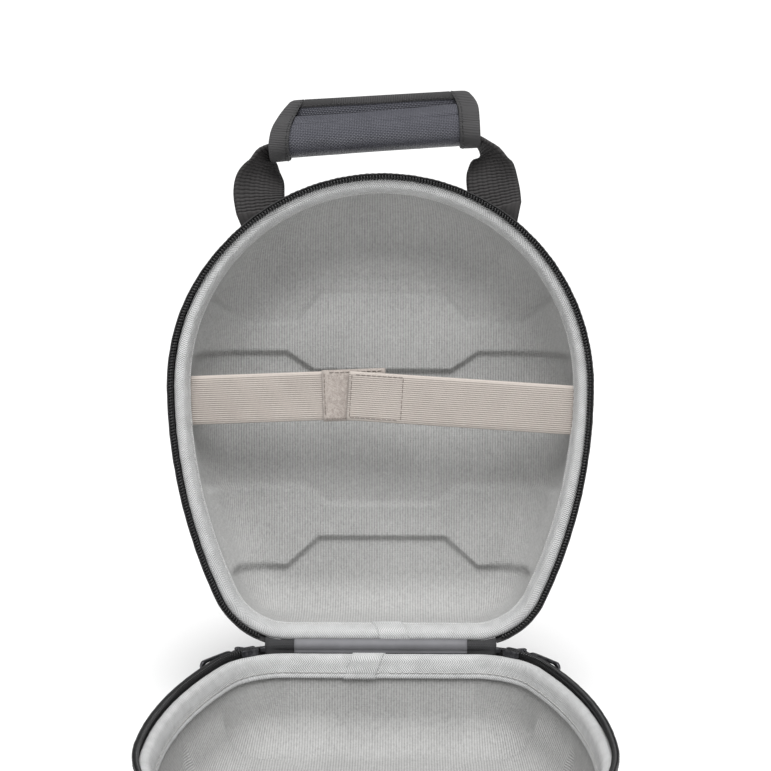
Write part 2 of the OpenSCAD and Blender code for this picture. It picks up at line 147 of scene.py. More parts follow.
class Stations:
    """Points along the outline, by distance from the middle of the hinge edge, leftwards."""

    def __init__(self, s):
        s = np.asarray(s, float)
        part = np.minimum(np.searchsorted(STOPS, s % ROUND, side="right"), 6)
        along = s % ROUND - np.concatenate([[0], STOPS])[part]
        side_x, corner_y = SIDE_R - FRONT_R, ARC_Y + CORNER_DROP
        half = math.pi / 2
        pick = lambda *values: np.choose(part, [v + 0 * s for v in values])
        self.s = s
        self.cx = pick(-along, -CORNER_X, side_x, 0, -side_x, CORNER_X, CORNER_X - along)
        self.cy = pick(corner_y, corner_y, ARC_Y, ARC_Y, ARC_Y, corner_y, corner_y)
        self.r = pick(CORNER_R, CORNER_R, SIDE_R, FRONT_R, SIDE_R, CORNER_R, CORNER_R)
        turn = pick(0, along / CORNER_R, along / SIDE_R, along / FRONT_R, along / SIDE_R,
                    along / CORNER_R, 0)
        start = pick(half, half, math.pi - CORNER_A, math.pi, 0, CORNER_A, half)
        a = start + turn
        self.n = np.stack([np.cos(a), np.sin(a)], -1)

    def spot(self, inset):
        return np.stack([self.cx, self.cy], -1) + (self.r - inset)[:, None] * self.n

    def at(self, inset, z):
        return np.column_stack([self.spot(inset), z + 0 * self.s])

    def facing(self, out, up=0.0):
        """Directions that look out from the outline, or in where out is -1, and up."""
        return np.column_stack([self.n * out, up + 0 * self.s])


def ring(step):
    return Stations(np.arange(0, ROUND - step / 2, ROUND / round(ROUND / step)))


def smoothstep(x):
    x = np.clip(x, 0, 1)
    return x * x * (3 - 2 * x)


def catmull(points, per, loop=False):
    """A smooth curve through the points, `per` steps to each gap."""
    p = np.asarray(points, float)
    p = np.vstack([p[-1:], p, p[:2]] if loop else [p[:1], p, p[-1:]])
    a, b, c, d = p[:-3, None], p[1:-2, None], p[2:-1, None], p[3:, None]
    t = (np.arange(per) / per)[None, :, None]
    curve = 0.5 * (2 * b + (c - a) * t + (2 * a - 5 * b + 4 * c - d) * t**2
                   + (3 * b - a - 3 * c + d) * t**3)
    curve = curve.reshape(-1, p.shape[1])
    return curve if loop else np.vstack([curve, p[-1:]])


def arc_length(points):
    return np.concatenate([[0], np.cumsum(np.linalg.norm(np.diff(points, axis=0), axis=1))])


def closed_length(points):
    return arc_length(np.vstack([points, points[:1]]))


def unit(v):
    return v / (np.linalg.norm(v, axis=-1, keepdims=True) + 1e-12)


def heading(path):
    """The direction of travel at each point of a path."""
    return unit(np.gradient(path, axis=0))


def doubled(path, thick):
    """A path of [y, z] points, then back along the same path moved sideways by thick."""
    side = heading(path)[:, ::-1] * [1, -1]
    return np.vstack([path, (path + side * thick)[::-1]])


def there_and_back(v):
    return np.concatenate([v, v[::-1], v[:1]])


def cloth_map(along, across):
    return np.stack(np.meshgrid(along, across, indexing="ij"), -1)


def legs(corners, steps):
    """Points along each straight leg between the corners, leg by leg."""
    corners = np.asarray(corners, float)
    t = np.linspace(0, 1, steps)[:, None]
    return [a + (b - a) * t for a, b in zip(corners[:-1], corners[1:])]


# ---------- meshes
class Build:
    """Collects grids of points, in millimetres, into one mesh with a cloth map in metres."""

    def __init__(self):
        self.points, self.faces, self.maps, self.count = [], [], [], 0

    def grid(self, p, uv=None, loop_i=False, loop_j=False, caps=False):
        n, m = p.shape[:2]
        uv = np.zeros((n + loop_i, m + loop_j, 2)) if uv is None else uv
        i, j = np.meshgrid(np.arange(n - 1 + loop_i), np.arange(m - 1 + loop_j), indexing="ij")
        i2, j2 = (i + 1) % n, (j + 1) % m
        quads = np.stack([i * m + j, i2 * m + j, i2 * m + j2, i * m + j2], -1).reshape(-1, 4)
        self.faces += (quads + self.count).tolist()
        corners = np.stack([uv[i, j], uv[i + 1, j], uv[i + 1, j + 1], uv[i, j + 1]], -2)
        self.maps.append(corners.reshape(-1, 2))
        if caps:
            for row, r in ((0, 0), (n - 1, uv.shape[0] - 1)):
                self.faces.append((row * m + np.arange(m) + self.count).tolist())
                self.maps.append(uv[r, :m])
        self.points.append(p.reshape(-1, 3))
        self.count += n * m
        return self

    def make(self, name, material, place=on_base):
        mesh = bpy.data.meshes.new(name)
        points = place(np.vstack(self.points)) * MM
        mesh.from_pydata(points.tolist(), [], self.faces)
        layer = mesh.uv_layers.new(name="cloth")
        layer.data.foreach_set("uv", (np.vstack(self.maps) * MM).astype(np.float32).ravel())
        bm = bmesh.new()
        bm.from_mesh(mesh)
        bmesh.ops.recalc_face_normals(bm, faces=bm.faces)
        bm.to_mesh(mesh)
        bm.free()
        mesh.polygons.foreach_set("use_smooth", [True] * len(mesh.polygons))
        mesh.materials.append(material)
        piece = bpy.data.objects.new(name, mesh)
        bpy.context.scene.collection.objects.link(piece)
        return piece


def skin(name, material, place, p, uv=None):
    """One closed sheet: rows of points, joined round and capped at both ends."""
    return Build().grid(p, uv, loop_j=True, caps=True).make(name, material, place)


def dress(piece, body, slot, *nodes):
    """The piece rides on a body and stands for CAD nodes; slot is not used."""
    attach(piece, body)
    if nodes:
        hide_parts(*nodes)


def bend(piece, bodies, start, end, slot, *nodes):
    """Cloth across a joint: its placing is baked into its mesh and the CAD nodes it stands for are hidden;
    bodies, start, end and slot are not used.
    """
    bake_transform(piece)
    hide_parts(*nodes)


def tube(build, path, radius, sides):
    """A round tube along a path."""
    path = np.asarray(path, float)
    way = heading(path)
    helper = np.where(np.abs(way[:, 2:3]) < 0.9, [[0, 0, 1.0]], [[1.0, 0, 0]])
    a = unit(np.cross(way, helper))
    b = np.cross(way, a)
    turn = (np.arange(sides) / sides * TURN)[:, None]
    p = path[:, None] + radius * (a[:, None] * np.cos(turn) + b[:, None] * np.sin(turn))
    build.grid(p, loop_j=True, caps=True)


def stitches(build, path, normal, length, gap, radius):
    """A row of sewn stitches along a path, each a short thread that dips at both ends."""
    s = arc_length(path)
    dip = 2 * radius * np.array([-0.25, 0.1, 0.2, 0.1, -0.25])
    for k in range(int(s[-1] / (length + gap))):
        at = k * (length + gap) + gap / 2 + length * np.linspace(0, 1, 5)
        p, n = (np.stack([np.interp(at, s, v[:, c]) for c in range(3)], -1) for v in (path, normal))
        tube(build, p + n * dip[:, None], radius, 5)


def sew(name, thread, place, body, slot, size, rows):
    """Rows of stitches as one piece. Each row is a path and the way its stitches face."""
    seam = Build()
    for path, normal in rows:
        stitches(seam, path, normal, *size)
    dress(seam.make(name, thread, place), body, slot)


# ---------- materials
class Net:
    """A material's nodes, with arithmetic written as calls."""

    def __init__(self, name):
        self.material = bpy.data.materials.new(name)
        self.material.use_nodes = True
        self.nodes = self.material.node_tree.nodes
        self.links = self.material.node_tree.links
        self.shader = self.nodes["Principled BSDF"]

    def plug(self, value, socket):
        if isinstance(value, (int, float, tuple)):
            socket.default_value = value
        else:
            self.links.new(value, socket)

    def math(self, operation, a, b=0.0, c=0.0):
        node = self.nodes.new("ShaderNodeMath")
        node.operation = operation
        for value, socket in zip((a, b, c), node.inputs):
            self.plug(value, socket)
        return node.outputs[0]

    def cloth(self):
        """The cloth map's two coordinates, in millimetres along and across."""
        node = self.nodes.new("ShaderNodeUVMap")
        node.uv_map = "cloth"
        split = self.nodes.new("ShaderNodeSeparateXYZ")
        self.links.new(node.outputs[0], split.inputs[0])
        return tuple(self.math("DIVIDE", split.outputs[k], MM) for k in (0, 1))

    def noise(self, scale, detail=3.0, rough=0.6):
        """Noise in the piece's own space; scale is in cycles a metre."""
        place = self.nodes.new("ShaderNodeTexCoord")
        node = self.nodes.new("ShaderNodeTexNoise")
        node.inputs["Scale"].default_value = scale
        node.inputs["Detail"].default_value = detail
        node.inputs["Roughness"].default_value = rough
        self.links.new(place.outputs["Object"], node.inputs["Vector"])
        return node.outputs["Fac"]

    def ribs(self, x, pitch):
        """Round ribs, 0 in each groove and 1 on each crest."""
        return self.math("ABSOLUTE", self.math("SINE", self.math("MULTIPLY", x, math.pi / pitch)))

    def wave(self, x, pitch):
        return self.math("SINE", self.math("MULTIPLY", x, TURN / pitch))

    def add(self, *terms):
        """The sum of (value, weight) pairs."""
        total = 0.0
        for value, weight in terms:
            total = self.math("MULTIPLY_ADD", value, weight, total)
        return total

    def ramp(self, value, low, high, at=(0.0, 1.0)):
        node = self.nodes.new("ShaderNodeValToRGB")
        for stop, colour, place in zip(node.color_ramp.elements, (low, high), at):
            stop.color = (*colour, 1)
            stop.position = place
        self.plug(value, node.inputs["Fac"])
        return node.outputs["Color"]

    def finish(self, height, bump_mm, colour, rough, **sockets):
        bump = self.nodes.new("ShaderNodeBump")
        bump.inputs["Distance"].default_value = bump_mm * MM
        self.plug(height, bump.inputs["Height"])
        self.links.new(bump.outputs[0], self.shader.inputs["Normal"])
        self.links.new(colour, self.shader.inputs["Base Color"])
        self.plug(rough, self.shader.inputs["Roughness"])
        for key, value in sockets.items():
            self.shader.inputs[key.replace("_", " ")].default_value = value
        return self.material


def knit_material():
    """Brushed ribbed knit: fine upright ribs under a soft nap."""
    net = Net("brushed_knit")
    x, y = net.cloth()
    ribs = net.ribs(x, 1.35)
    loops = net.wave(y, 1.1)
    nap, cloud = net.noise(900, 4), net.noise(26, 3)
    pill = net.noise(380, 3, 0.7)
    height = net.add((ribs, 0.65), (loops, 0.04), (nap, 0.9), (pill, 0.65))
    shade = net.add((ribs, 0.25), (nap, 0.52), (cloud, 0.25), (pill, 0.32))
    colour = net.ramp(shade, (0.19, 0.19, 0.187), (0.47, 0.469, 0.463), (0.3, 0.96))
    return net.finish(height, 0.35, colour, 0.95, Sheen_Weight=0.12, Sheen_Roughness=0.5)


def twill_material():
    """Pale herringbone tape: steep diagonal ribs that turn back and forth over fine cross threads."""
    net = Net("twill_tape")
    x, y = net.cloth()
    diagonal = net.ribs(net.add((x, 1.0), (net.math("PINGPONG", y, 2.6), 0.8)), 1.15)
    threads = net.wave(y, 0.55)
    cloud = net.noise(140, 3)
    height = net.add((diagonal, 0.8), (threads, 0.2), (net.noise(2500, 2), 0.2))
    shade = net.add((diagonal, 0.62), (threads, 0.06), (cloud, 0.5))
    colour = net.ramp(shade, (0.28, 0.282, 0.282), (0.78, 0.785, 0.785), (0.14, 1.0))
    return net.finish(height, 0.45, colour, 0.7, Sheen_Weight=0.08, Sheen_Roughness=0.4)


def weave_material(name, dark, light, pitch, bump, rough=0.6, sheen=0.03):
    """Plain woven cloth, with over-and-under threads of the given pitch."""
    net = Net(name)
    x, y = net.cloth()
    over = net.math("MULTIPLY", net.wave(x, 2 * pitch), net.wave(y, 2 * pitch))
    warp, weft = net.ribs(x, pitch), net.ribs(y, pitch)
    pick = net.math("GREATER_THAN", over, 0.0)
    threads = net.math("MULTIPLY_ADD", pick, net.math("SUBTRACT", warp, weft), weft)
    cloud, fuzz = net.noise(60, 3), net.noise(1800, 2)
    height = net.add((threads, 1.0), (fuzz, 0.25))
    shade = net.add((threads, 0.5), (cloud, 0.35), (pick, 0.12), (fuzz, 0.15))
    colour = net.ramp(shade, dark, light, (0.15, 1.0))
    glint = net.math("MULTIPLY_ADD", threads, -0.18, rough + 0.15)
    return net.finish(height, bump, colour, glint, Sheen_Weight=sheen, Sheen_Roughness=0.4)


def webbing_material(name, dark, light, pitch=1.5, columns=2.4, bump=0.35):
    """Ribbed webbing: short crosswise ribs set off in columns."""
    net = Net(name)
    x, y = net.cloth()
    ribs = net.ribs(net.add((x, 1.0), (net.wave(y, 2 * columns), 0.12)), pitch)
    column = net.ribs(y, columns)
    fuzz, cloud = net.noise(1600, 2), net.noise(70, 3)
    height = net.add((ribs, 0.9), (column, 0.35), (fuzz, 0.2))
    shade = net.add((ribs, 0.45), (column, 0.2), (cloud, 0.35), (fuzz, 0.12))
    colour = net.ramp(shade, dark, light, (0.2, 1.0))
    return net.finish(height, bump, colour, 0.72, Sheen_Weight=0.03, Sheen_Roughness=0.45)


def elastic_material():
    """Woven elastic: fine ribs along its length, crossed by weft threads, with a painted highlight that
    makes both edges paler.
    """
    net = Net("elastic_webbing")
    x, y = net.cloth()
    cords = net.ribs(y, 1.05)
    weft = net.ribs(x, 0.62)
    # painted highlight: the colour is made paler along both edges of the strap, as if its fuller edges
    # caught the light
    past = net.math("SUBTRACT", net.math("ABSOLUTE", y), STRAP_W / 2 - 1.4)
    painted_edge_highlight = net.math("MINIMUM", net.math("MAXIMUM", net.math("MULTIPLY", past, 2.5), 0.0), 1.0)
    fuzz, cloud = net.noise(1500, 2), net.noise(45, 3)
    height = net.add((cords, 0.8), (weft, 0.3), (fuzz, 0.2))
    shade = net.add((cords, 0.42), (weft, 0.14), (cloud, 0.35), (fuzz, 0.15), (painted_edge_highlight, 0.45))
    colour = net.ramp(shade, (0.24, 0.212, 0.192), (0.52, 0.468, 0.428), (0.15, 1.0))
    return net.finish(height, 0.35, colour, 0.85, Sheen_Weight=0.1, Sheen_Roughness=0.5)


def fuzzy_material(name, dark, light, scale=1500, bump=0.5):
    """A brushed loop or hook surface."""
    net = Net(name)
    fluff, curl = net.noise(scale, 5, 0.75), net.noise(scale / 3, 3)
    height = net.add((fluff, 1.0), (curl, 0.6))
    shade = net.add((fluff, 0.8), (curl, 0.4))
    colour = net.ramp(shade, dark, light, (0.35, 0.8))
    return net.finish(height, bump, colour, 0.95, Sheen_Weight=0.12, Sheen_Roughness=0.6)


def plain_knit_material(name, dark, light, pitch, bump):
    """Smooth close cloth with a faint grain."""
    net = Net(name)
    x, y = net.cloth()
    grain = net.add((net.ribs(x, pitch), 0.5), (net.ribs(y, pitch), 0.5))
    cloud = net.noise(90, 3)
    colour = net.ramp(net.add((grain, 0.4), (cloud, 0.6)), dark, light, (0.2, 0.9))
    return net.finish(net.add((grain, 1.0), (cloud, 0.4)), bump, colour, 0.55, Sheen_Weight=0.1)


def metal_material():
    """Dark plated zinc, rubbed bright in places."""
    net = Net("plated_zinc")
    wear, grain = net.noise(260, 5, 0.7), net.noise(4000, 2)
    colour = net.ramp(wear, (0.045, 0.045, 0.05), (0.17, 0.17, 0.18), (0.45, 0.75))
    rough = net.math("MULTIPLY_ADD", grain, 0.22, 0.24)
    return net.finish(net.add((grain, 0.5), (wear, 0.5)), 0.03, colour, rough, Metallic=0.9)


def plain_material(name, dark, light, cloud, grain, at, rough, **sockets):
    """Cloudy colour and a fine grain, each given as [cycles a metre, detail]."""
    net = Net(name)
    colour = net.ramp(net.noise(*cloud), dark, light, at)
    return net.finish(net.noise(*grain), 0.05, colour, rough, **sockets)


def nylon_material(name, dark, light):
    """Moulded nylon coil or thread, a little glossy."""
    return plain_material(name, dark, light, (120, 3), (3000, 2), (0.3, 0.8), 0.42, Coat_Weight=0.1)


KNIT = knit_material()
TWILL = twill_material()
SHELL = weave_material("ballistic_nylon", (0.007, 0.007, 0.008), (0.032, 0.032, 0.036), 0.9, 0.3)
GRIP = weave_material("grip_nylon", (0.02, 0.021, 0.027), (0.105, 0.106, 0.13), 0.85, 0.45, 0.45)
TAPE_WEAVE = weave_material("zip_tape_weave", (0.008, 0.008, 0.0085), (0.036, 0.035, 0.036), 0.5, 0.15)
WEB = webbing_material("carry_webbing", (0.003, 0.0027, 0.0027), (0.032, 0.029, 0.029), 1.6)
GROSGRAIN = webbing_material("grosgrain", (0.01, 0.01, 0.0105), (0.058, 0.056, 0.058), 0.9, 30, 0.3)
HINGE = weave_material("hinge_weave", (0.008, 0.008, 0.009), (0.035, 0.035, 0.038), 0.6, 0.2)
FACING = plain_knit_material("smooth_facing", (0.1, 0.1, 0.108), (0.19, 0.19, 0.203), 0.5, 0.1)
ELASTIC = elastic_material()
LOOP = fuzzy_material("loop_pile", (0.2, 0.172, 0.155), (0.47, 0.42, 0.385), 1100)
HOOK = fuzzy_material("hook_strip", (0.008, 0.008, 0.009), (0.04, 0.04, 0.042), 2500, 0.4)
METAL = metal_material()
COIL = nylon_material("nylon_coil", (0.003, 0.003, 0.0035), (0.014, 0.014, 0.015))
DARK_THREAD = nylon_material("dark_thread", (0.003, 0.003, 0.0035), (0.014, 0.014, 0.015))
PALE_THREAD = nylon_material("pale_thread", (0.4, 0.395, 0.385), (0.62, 0.615, 0.6))
BEIGE_THREAD = nylon_material("beige_thread", (0.12, 0.1, 0.088), (0.25, 0.215, 0.19))

# ---------- the moulded halves
# Two raised bands cross each floor: [x, distance up from the front arc's centre], outer end first
BANDS = [([(112, 63), (88, 44), (73, 31.5), (45, 31.5), (32, 46.6)],
          [(112, 14.7), (50, 14.7), (36, 5.3)]),
         ([(104, -55.4), (41, -55.4), (28, -64.8)],
          [(104, -98), (50, -98), (33, -82.6)])]


def mirrored(tops, feet):
    """A closed outline, the same on both sides of the middle."""
    left = [(-x, y) for x, y in tops]
    return np.array(left + tops[::-1] + feet + [(-x, y) for x, y in feet[::-1]], float)


def inside_by(points, outline):
    """Signed distance into a closed outline, positive inside it."""
    a, b = outline, np.roll(outline, -1, 0)
    p = points[:, None]
    edge = b - a
    t = np.clip(((p - a) * edge).sum(-1) / (edge * edge).sum(-1), 0, 1)
    far = np.linalg.norm(p - a - t[..., None] * edge, axis=-1).min(1)
    y0, y1 = a[:, 1], b[:, 1]
    cross = (y0 > p[..., 1]) != (y1 > p[..., 1])
    x_at = a[:, 0] + (p[..., 1] - y0) / np.where(y1 == y0, 1, y1 - y0) * edge[:, 0]
    inner = (cross & (p[..., 0] < x_at)).sum(1) % 2 == 1
    return np.where(inner, far, -far)


BEVEL = 3.0


def emboss(xy, z):
    """How far up its bevel each point of a half's floor stands, from 0 to 1."""
    flat = np.stack([xy[..., 0].ravel(), ARC_Y - xy[..., 1].ravel()], -1)
    up = np.zeros(len(flat))
    for tops, feet in BANDS:
        up = np.maximum(up, smoothstep(inside_by(flat, mirrored(tops, feet)) / BEVEL + 0.5))
    crease = np.exp(-((flat[:, 1] - 54) / 1.2) ** 2) * smoothstep((52 - np.abs(flat[:, 0])) / 8)
    up = (up - 0.3 * crease).reshape(z.shape)
    return up * smoothstep((34 - z) / 14)


def half_surface(st, deep, shoulders, raised, floor_steps, arc_steps=14, wall_steps=8):
    """Rows of points from the floor's middle out to the rim, and their cloth map."""
    front, back = shoulders
    y = st.spot(0)[:, 1]
    r = front + (back - front) * (y + FLAT_Y) / (2 * FLAT_Y)
    edge_in = (DEPTH - r) * DRAFT + r
    edge = st.spot(edge_in)
    rows = []                    # [points, cloth map, the way each point faces]
    for f in np.linspace(0.012, 1, floor_steps, endpoint=False):
        rows.append((np.column_stack([edge * f, 0 * y + deep]), edge * f, st.facing(0, 1)))
    for a in np.linspace(math.pi / 2, 0, arc_steps):
        inset = edge_in - r + deep + (r - deep) * (1 - math.cos(a))
        past = (r - deep) * (math.pi / 2 - a)
        rows.append((st.at(inset, r - (r - deep) * math.sin(a)), edge + st.n * past[:, None],
                     st.facing(-math.cos(a), math.sin(a))))
    for t in np.linspace(0, 1, wall_steps + 1)[1:]:
        z = r + (DEPTH - r) * t
        past = (r - deep) * math.pi / 2 + z - r
        rows.append((st.at((DEPTH - z) * DRAFT + deep, z), edge + st.n * past[:, None], st.facing(-1)))
    points, cloth, normals = (np.array(column) for column in zip(*rows))
    height = emboss(points[..., :2], points[..., 2])
    if deep == 0:
        height = np.maximum(height, 0)      # the case stands on this face, so nothing dips below it
    ripple = 0.12 * np.sin(points[..., 0] / 9.7 + 1.3) * np.sin(points[..., 1] / 12.1 + 0.4)
    return points + normals * (raised * height + ripple)[..., None], cloth


def closed_bowl(name, material, place, st, out, inn):
    """A solid sheet between two surfaces, joined at the rim."""
    (outer, outer_map), (inner, inner_map) = half_surface(st, *out), half_surface(st, *inn)
    uv = np.concatenate([outer_map, inner_map[::-1]])
    uv = np.concatenate([uv, uv[:, :1]], 1)
    return skin(name, material, place, np.concatenate([outer, inner[::-1]]), uv)


SHOULDERS = (30.0, 12.0)
LINING_SHOULDERS = (32.0, 24.0)


def moulded_half(half):
    """One half's outer shell and its knit lining."""
    place = HALVES[half]
    shell = closed_bowl(f"{half}_outer_shell", SHELL, place, ring(3.0),
                        (0.0, SHOULDERS, 1.7, 70), (WALL, SHOULDERS, 1.7, 12))
    dress(shell, half, "shell_fabric", f"{half}_shell")
    lining = closed_bowl(f"{half}_knit_lining", KNIT, place, ring(1.8),
                         (WALL + 0.1, LINING_SHOULDERS, 1.7, 30),
                         (WALL + LINING, LINING_SHOULDERS, 3.0, 125))
    dress(lining, half, "lining_fabric", f"{half}_lining")


# ---------- edge binding
# The tape's section as [inset, height from the rim], outer edge first, then down the inside
BINDING = [(0.05, 0.15), (0.3, 1.0), (1.5, 1.6), (3.2, 1.45), (4.7, 0.5), (5.7, -1.6),
           (6.3, -4.0), (6.75, -6.4), (6.7, -7.2), (7.15, -7.9), (7.2, -9.0), (6.7, -9.5),
           (5.9, -9.3), (5.45, -6.0), (5.05, -2.0), (4.4, 0.05), (2.2, 0.12)]
BINDING_STITCH = 7               # the point of the section that the seam runs along
BINDING_INNER_EDGE = 12          # how many of its points face out, up to the inner edge
LAPS = {"lid": (-5.0, 15.0, 5.0), "base": (8.0, 16.0, 6.0)}     # [middle, length, slant]


def puckers(s, size):
    """Slight unevenness along a sewn tape, the same each time round."""
    turns = TURN * s / ROUND
    return size * (np.sin(61 * turns) + 0.7 * np.sin(97 * turns + 1) + 0.6 * np.sin(23 * turns + 2))


def binding(half):
    """The pale tape round a half's rim, and the seam that holds it down."""
    place, st = HALVES[half], ring(2.0)
    curve = catmull(BINDING, 3, loop=True) + [0, DEPTH]
    rows = [st.at(inset + puckers(st.s, 0.05), z) for inset, z in curve]
    uv = cloth_map(np.append(st.s, ROUND), closed_length(curve))
    tape = Build().grid(np.stack(rows, 1), uv, loop_i=True, loop_j=True)
    dress(tape.make(f"{half}_rim_binding", TWILL, place), half, "binding_tape", f"{half}_binding")

    st = ring(1.2)
    inset, drop = BINDING[BINDING_STITCH]
    path = st.at(inset + 0.05 + puckers(st.s, 0.05), DEPTH + drop)
    sew(f"{half}_binding_seam", PALE_THREAD, place, half, "binding_tape", (2.7, 0.8, 0.2),
        [(path, st.facing(-1, 0.25))])


def binding_lap(half):
    """Where the tape's two ends overlap, near the middle of the hinge edge, cut on a slant."""
    middle, lap, slant = LAPS[half]
    outside = catmull(BINDING[:BINDING_INNER_EDGE], 3)
    out = heading(outside)[:, ::-1] * [-1, 1]
    across = arc_length(outside)
    t = np.linspace(0, 1, 13)
    s = middle + lap * (t[:, None] - 0.5) + slant * (across / across[-1] - 0.5)
    st = Stations(s.ravel())
    layers = []
    for lift in (0.5, 0.02):
        q = np.tile(outside + out * lift, (len(t), 1))
        layers.append(st.at(q[:, 0], q[:, 1] + DEPTH).reshape(*s.shape, 3))
    p = np.concatenate([layers[0], layers[1][:, ::-1]], 1)
    uv = cloth_map(lap * t, there_and_back(across))
    dress(skin(f"{half}_binding_lap", TWILL, HALVES[half], p, uv), half, "binding_tape")


# ---------- zip
ZIP_TO = ROUND - ZIP_FROM
TAPE_LOW = DEPTH - 6
# The tape's section as [inset, height above the floor], inner face first
TAPE = [(-0.15, TAPE_LOW), (-0.15, 46.5), (-0.7, 49), (-1.25, 51), (-1.5, 53), (-1.55, 54.7),
        (-2.15, 54.7), (-2.1, 53), (-1.85, 51), (-1.35, 49), (-0.8, 46.5), (-0.75, TAPE_LOW)]
TAPE_SEAMS = ((TAPE_LOW + 1.4, 0.8), (53.4, 2.13))              # [height, distance out]
COIL_MID, COIL_OUT = 53.85, 0.15
COIL_PITCH, COIL_REACH, COIL_WIRE = 1.5, 1.05, 0.42


def flare(half, st):
    """How far the open zip leans out along its run: most on the lid's left side."""
    left = smoothstep((-st.n[:, 0] - 0.72) / 0.25)
    return 0.25 + 0.2 * np.sin(st.s / 31 + 0.8) + (0.8 * left if half == "lid" else 0.3 * left)


def zip_run(step, past=0.0):
    """Stations along the zip; the woven tape runs past the last teeth, up to the hinge strip."""
    return Stations(np.arange(ZIP_FROM - past, ZIP_TO + past, step))


def leaning(half, st, z):
    """How far out the zip stands at a height: not at all at its sewn foot, all of its flare at the top."""
    return flare(half, st) * min(1, max(0, (z - TAPE_LOW - 2) / 8.7))


def zip_half(half):
    """A half's woven tape, its continuous coil of teeth and the tape's two seams."""
    place, st = HALVES[half], zip_run(2.0, 3.6)
    curve = catmull(TAPE, 2, loop=True)
    rows = [st.at(inset - leaning(half, st, z) + puckers(st.s, 0.04), z) for inset, z in curve]
    tape = skin(f"{half}_zip_cloth", TAPE_WEAVE, place, np.stack(rows, 1),
                cloth_map(st.s, closed_length(curve)))
    dress(tape, half, "zip_tape", f"{half}_zip_tape")

    coil, st = Build(), zip_run(COIL_PITCH / 10)
    phase = TURN * st.s / COIL_PITCH
    out = COIL_OUT + flare(half, st) * 1.25 + COIL_REACH * np.cos(phase)
    tube(coil, st.at(-out, COIL_MID + COIL_REACH * np.sin(phase)), COIL_WIRE, 5)
    dress(coil.make(f"{half}_coil", COIL, place), half, "zip_teeth", f"{half}_zip_teeth")

    st = zip_run(1.2)
    rows = [(st.at(puckers(st.s, 0.04) - out - leaning(half, st, z), z), st.facing(1))
            for z, out in TAPE_SEAMS]
    sew(f"{half}_zip_seams", DARK_THREAD, place, half, "zip_tape", (2.2, 0.8, 0.17), rows)


# ---------- hinge strip
def hinge_path(out, fold, low):
    """The cloth's outer face from one wall's foot, round the hinge line, to the other's, as [y, z]."""
    wall = np.column_stack([np.full(6, FLAT_Y + out), np.linspace(low, HINGE_Z - 2.2, 6)])
    far = on_lid(np.column_stack([np.zeros(6), wall[::-1]]))[:, 1:]
    line = np.array([HINGE_Y, HINGE_Z])
    start, end = wall[-1] - line, far[0] - line
    a = np.linspace(math.atan2(start[1], start[0]) + TURN, math.atan2(end[1], end[0]), 9)[1:-1]
    reach = np.linalg.norm(start)
    reach = reach + (fold - reach) * np.sin(np.linspace(0, math.pi, 9)[1:-1]) ** 0.7
    turn = line + reach[:, None] * np.column_stack([np.cos(a), np.sin(a)])
    return catmull(np.vstack([wall, turn, far]), 3)


def hinge_strip(name, material, slot, width, out, thick, fold, low, nodes):
    """Cloth that turns from one half's wall to the other's about the hinge line."""
    rows, maps = [], []
    for x in np.linspace(-width / 2, width / 2, 49):
        foot = low + (DEPTH + 0.3 - low) * float(smoothstep((abs(x) - 46) / 4))
        drop = CORNER_R - math.sqrt(CORNER_R ** 2 - max(0, abs(x) - CORNER_X) ** 2)
        path = hinge_path(out - drop, fold, foot)
        loop = doubled(path, -thick)
        rows.append(np.column_stack([np.full(len(loop), x), loop]))
        s = arc_length(path)
        v = there_and_back(s - s[-1] / 2)
        maps.append(np.column_stack([np.full(len(v), x), v]))
    strip = skin(name, material, on_base, np.array(rows), np.array(maps))
    start = np.array([0, FLAT_Y, HINGE_Z - 2.4])
    bend(strip, ("base", "lid"), start, on_lid(start), slot, *nodes)


# ---------- carry webbing
def shell_point(angle, z, out):
    """A point `out` from the shell's outer face, by its angle from the middle of the front arc."""
    y = ARC_Y - FRONT_R * np.cos(angle)
    r = SHOULDERS[0] + (SHOULDERS[1] - SHOULDERS[0]) * (y + FLAT_Y) / (2 * FLAT_Y)
    up = np.minimum(z, r)
    a = np.arcsin((r - up) / r)
    inset = (DEPTH - np.maximum(z, r)) * DRAFT + (r + out) * (1 - np.cos(a)) - out
    rho = FRONT_R - inset
    height = np.where(z < r, r - (r + out) * np.sin(a), z)
    return np.stack([rho * np.sin(angle), rho * np.cos(angle), height + 0 * angle], -1)


def anchor_axes(side):
    """Outward and crosswise directions where the webbing leaves the wall."""
    a = side * ANCHOR_A[side]
    return np.array([math.sin(a), math.cos(a), 0]), np.array([math.cos(a), -math.sin(a), 0])


def leg_keys(side):
    """The webbing's route from the wall into the grip: [point, width's direction, width, thickness]."""
    radial, tangent = anchor_axes(side)
    keys = [(radial * (WEB_ROOT + 4) + [0, 0, BEND_Z], tangent, WEB_W, WEB_T)]
    if side < 0:
        keys += [((-62.3, 96.5, BEND_Z), (0.95, 0.3, 0), WEB_W + 1, WEB_T),
                 ((-61.6, 104.0, BEND_Z), (0.96, 0.1, -0.28), WEB_W, WEB_T),
                 ((-60.2, 111.0, BEND_Z), (0.68, -0.05, -0.73), WEB_W - 3, WEB_T + 0.2),
                 ((-58.4, 117.0, BEND_Z), (0.3, -0.25, -0.92), WEB_W - 7, WEB_T + 0.5)]
    else:
        keys += [((56.8, 96, BEND_Z), (0.96, -0.25, 0), WEB_W + 1.5, WEB_T),
                 ((55.4, 104, BEND_Z), (0.99, -0.1, 0.1), WEB_W + 1, WEB_T),
                 ((54.6, 112, BEND_Z), (0.88, 0.0, 0.48), WEB_W - 1, WEB_T + 0.2),
                 ((53.0, 119, BEND_Z), (0.4, 0.15, 0.9), WEB_W - 7, WEB_T + 0.5)]
    for x in (side * (GRIP_L / 2 - 6), side * INNER_L / 2):
        at = GRIP_AT + [x * math.cos(GRIP_LEAN), x * math.sin(GRIP_LEAN) - 3, 0]
        keys.append((at, (0, 0, side), 14, 3))
    return keys


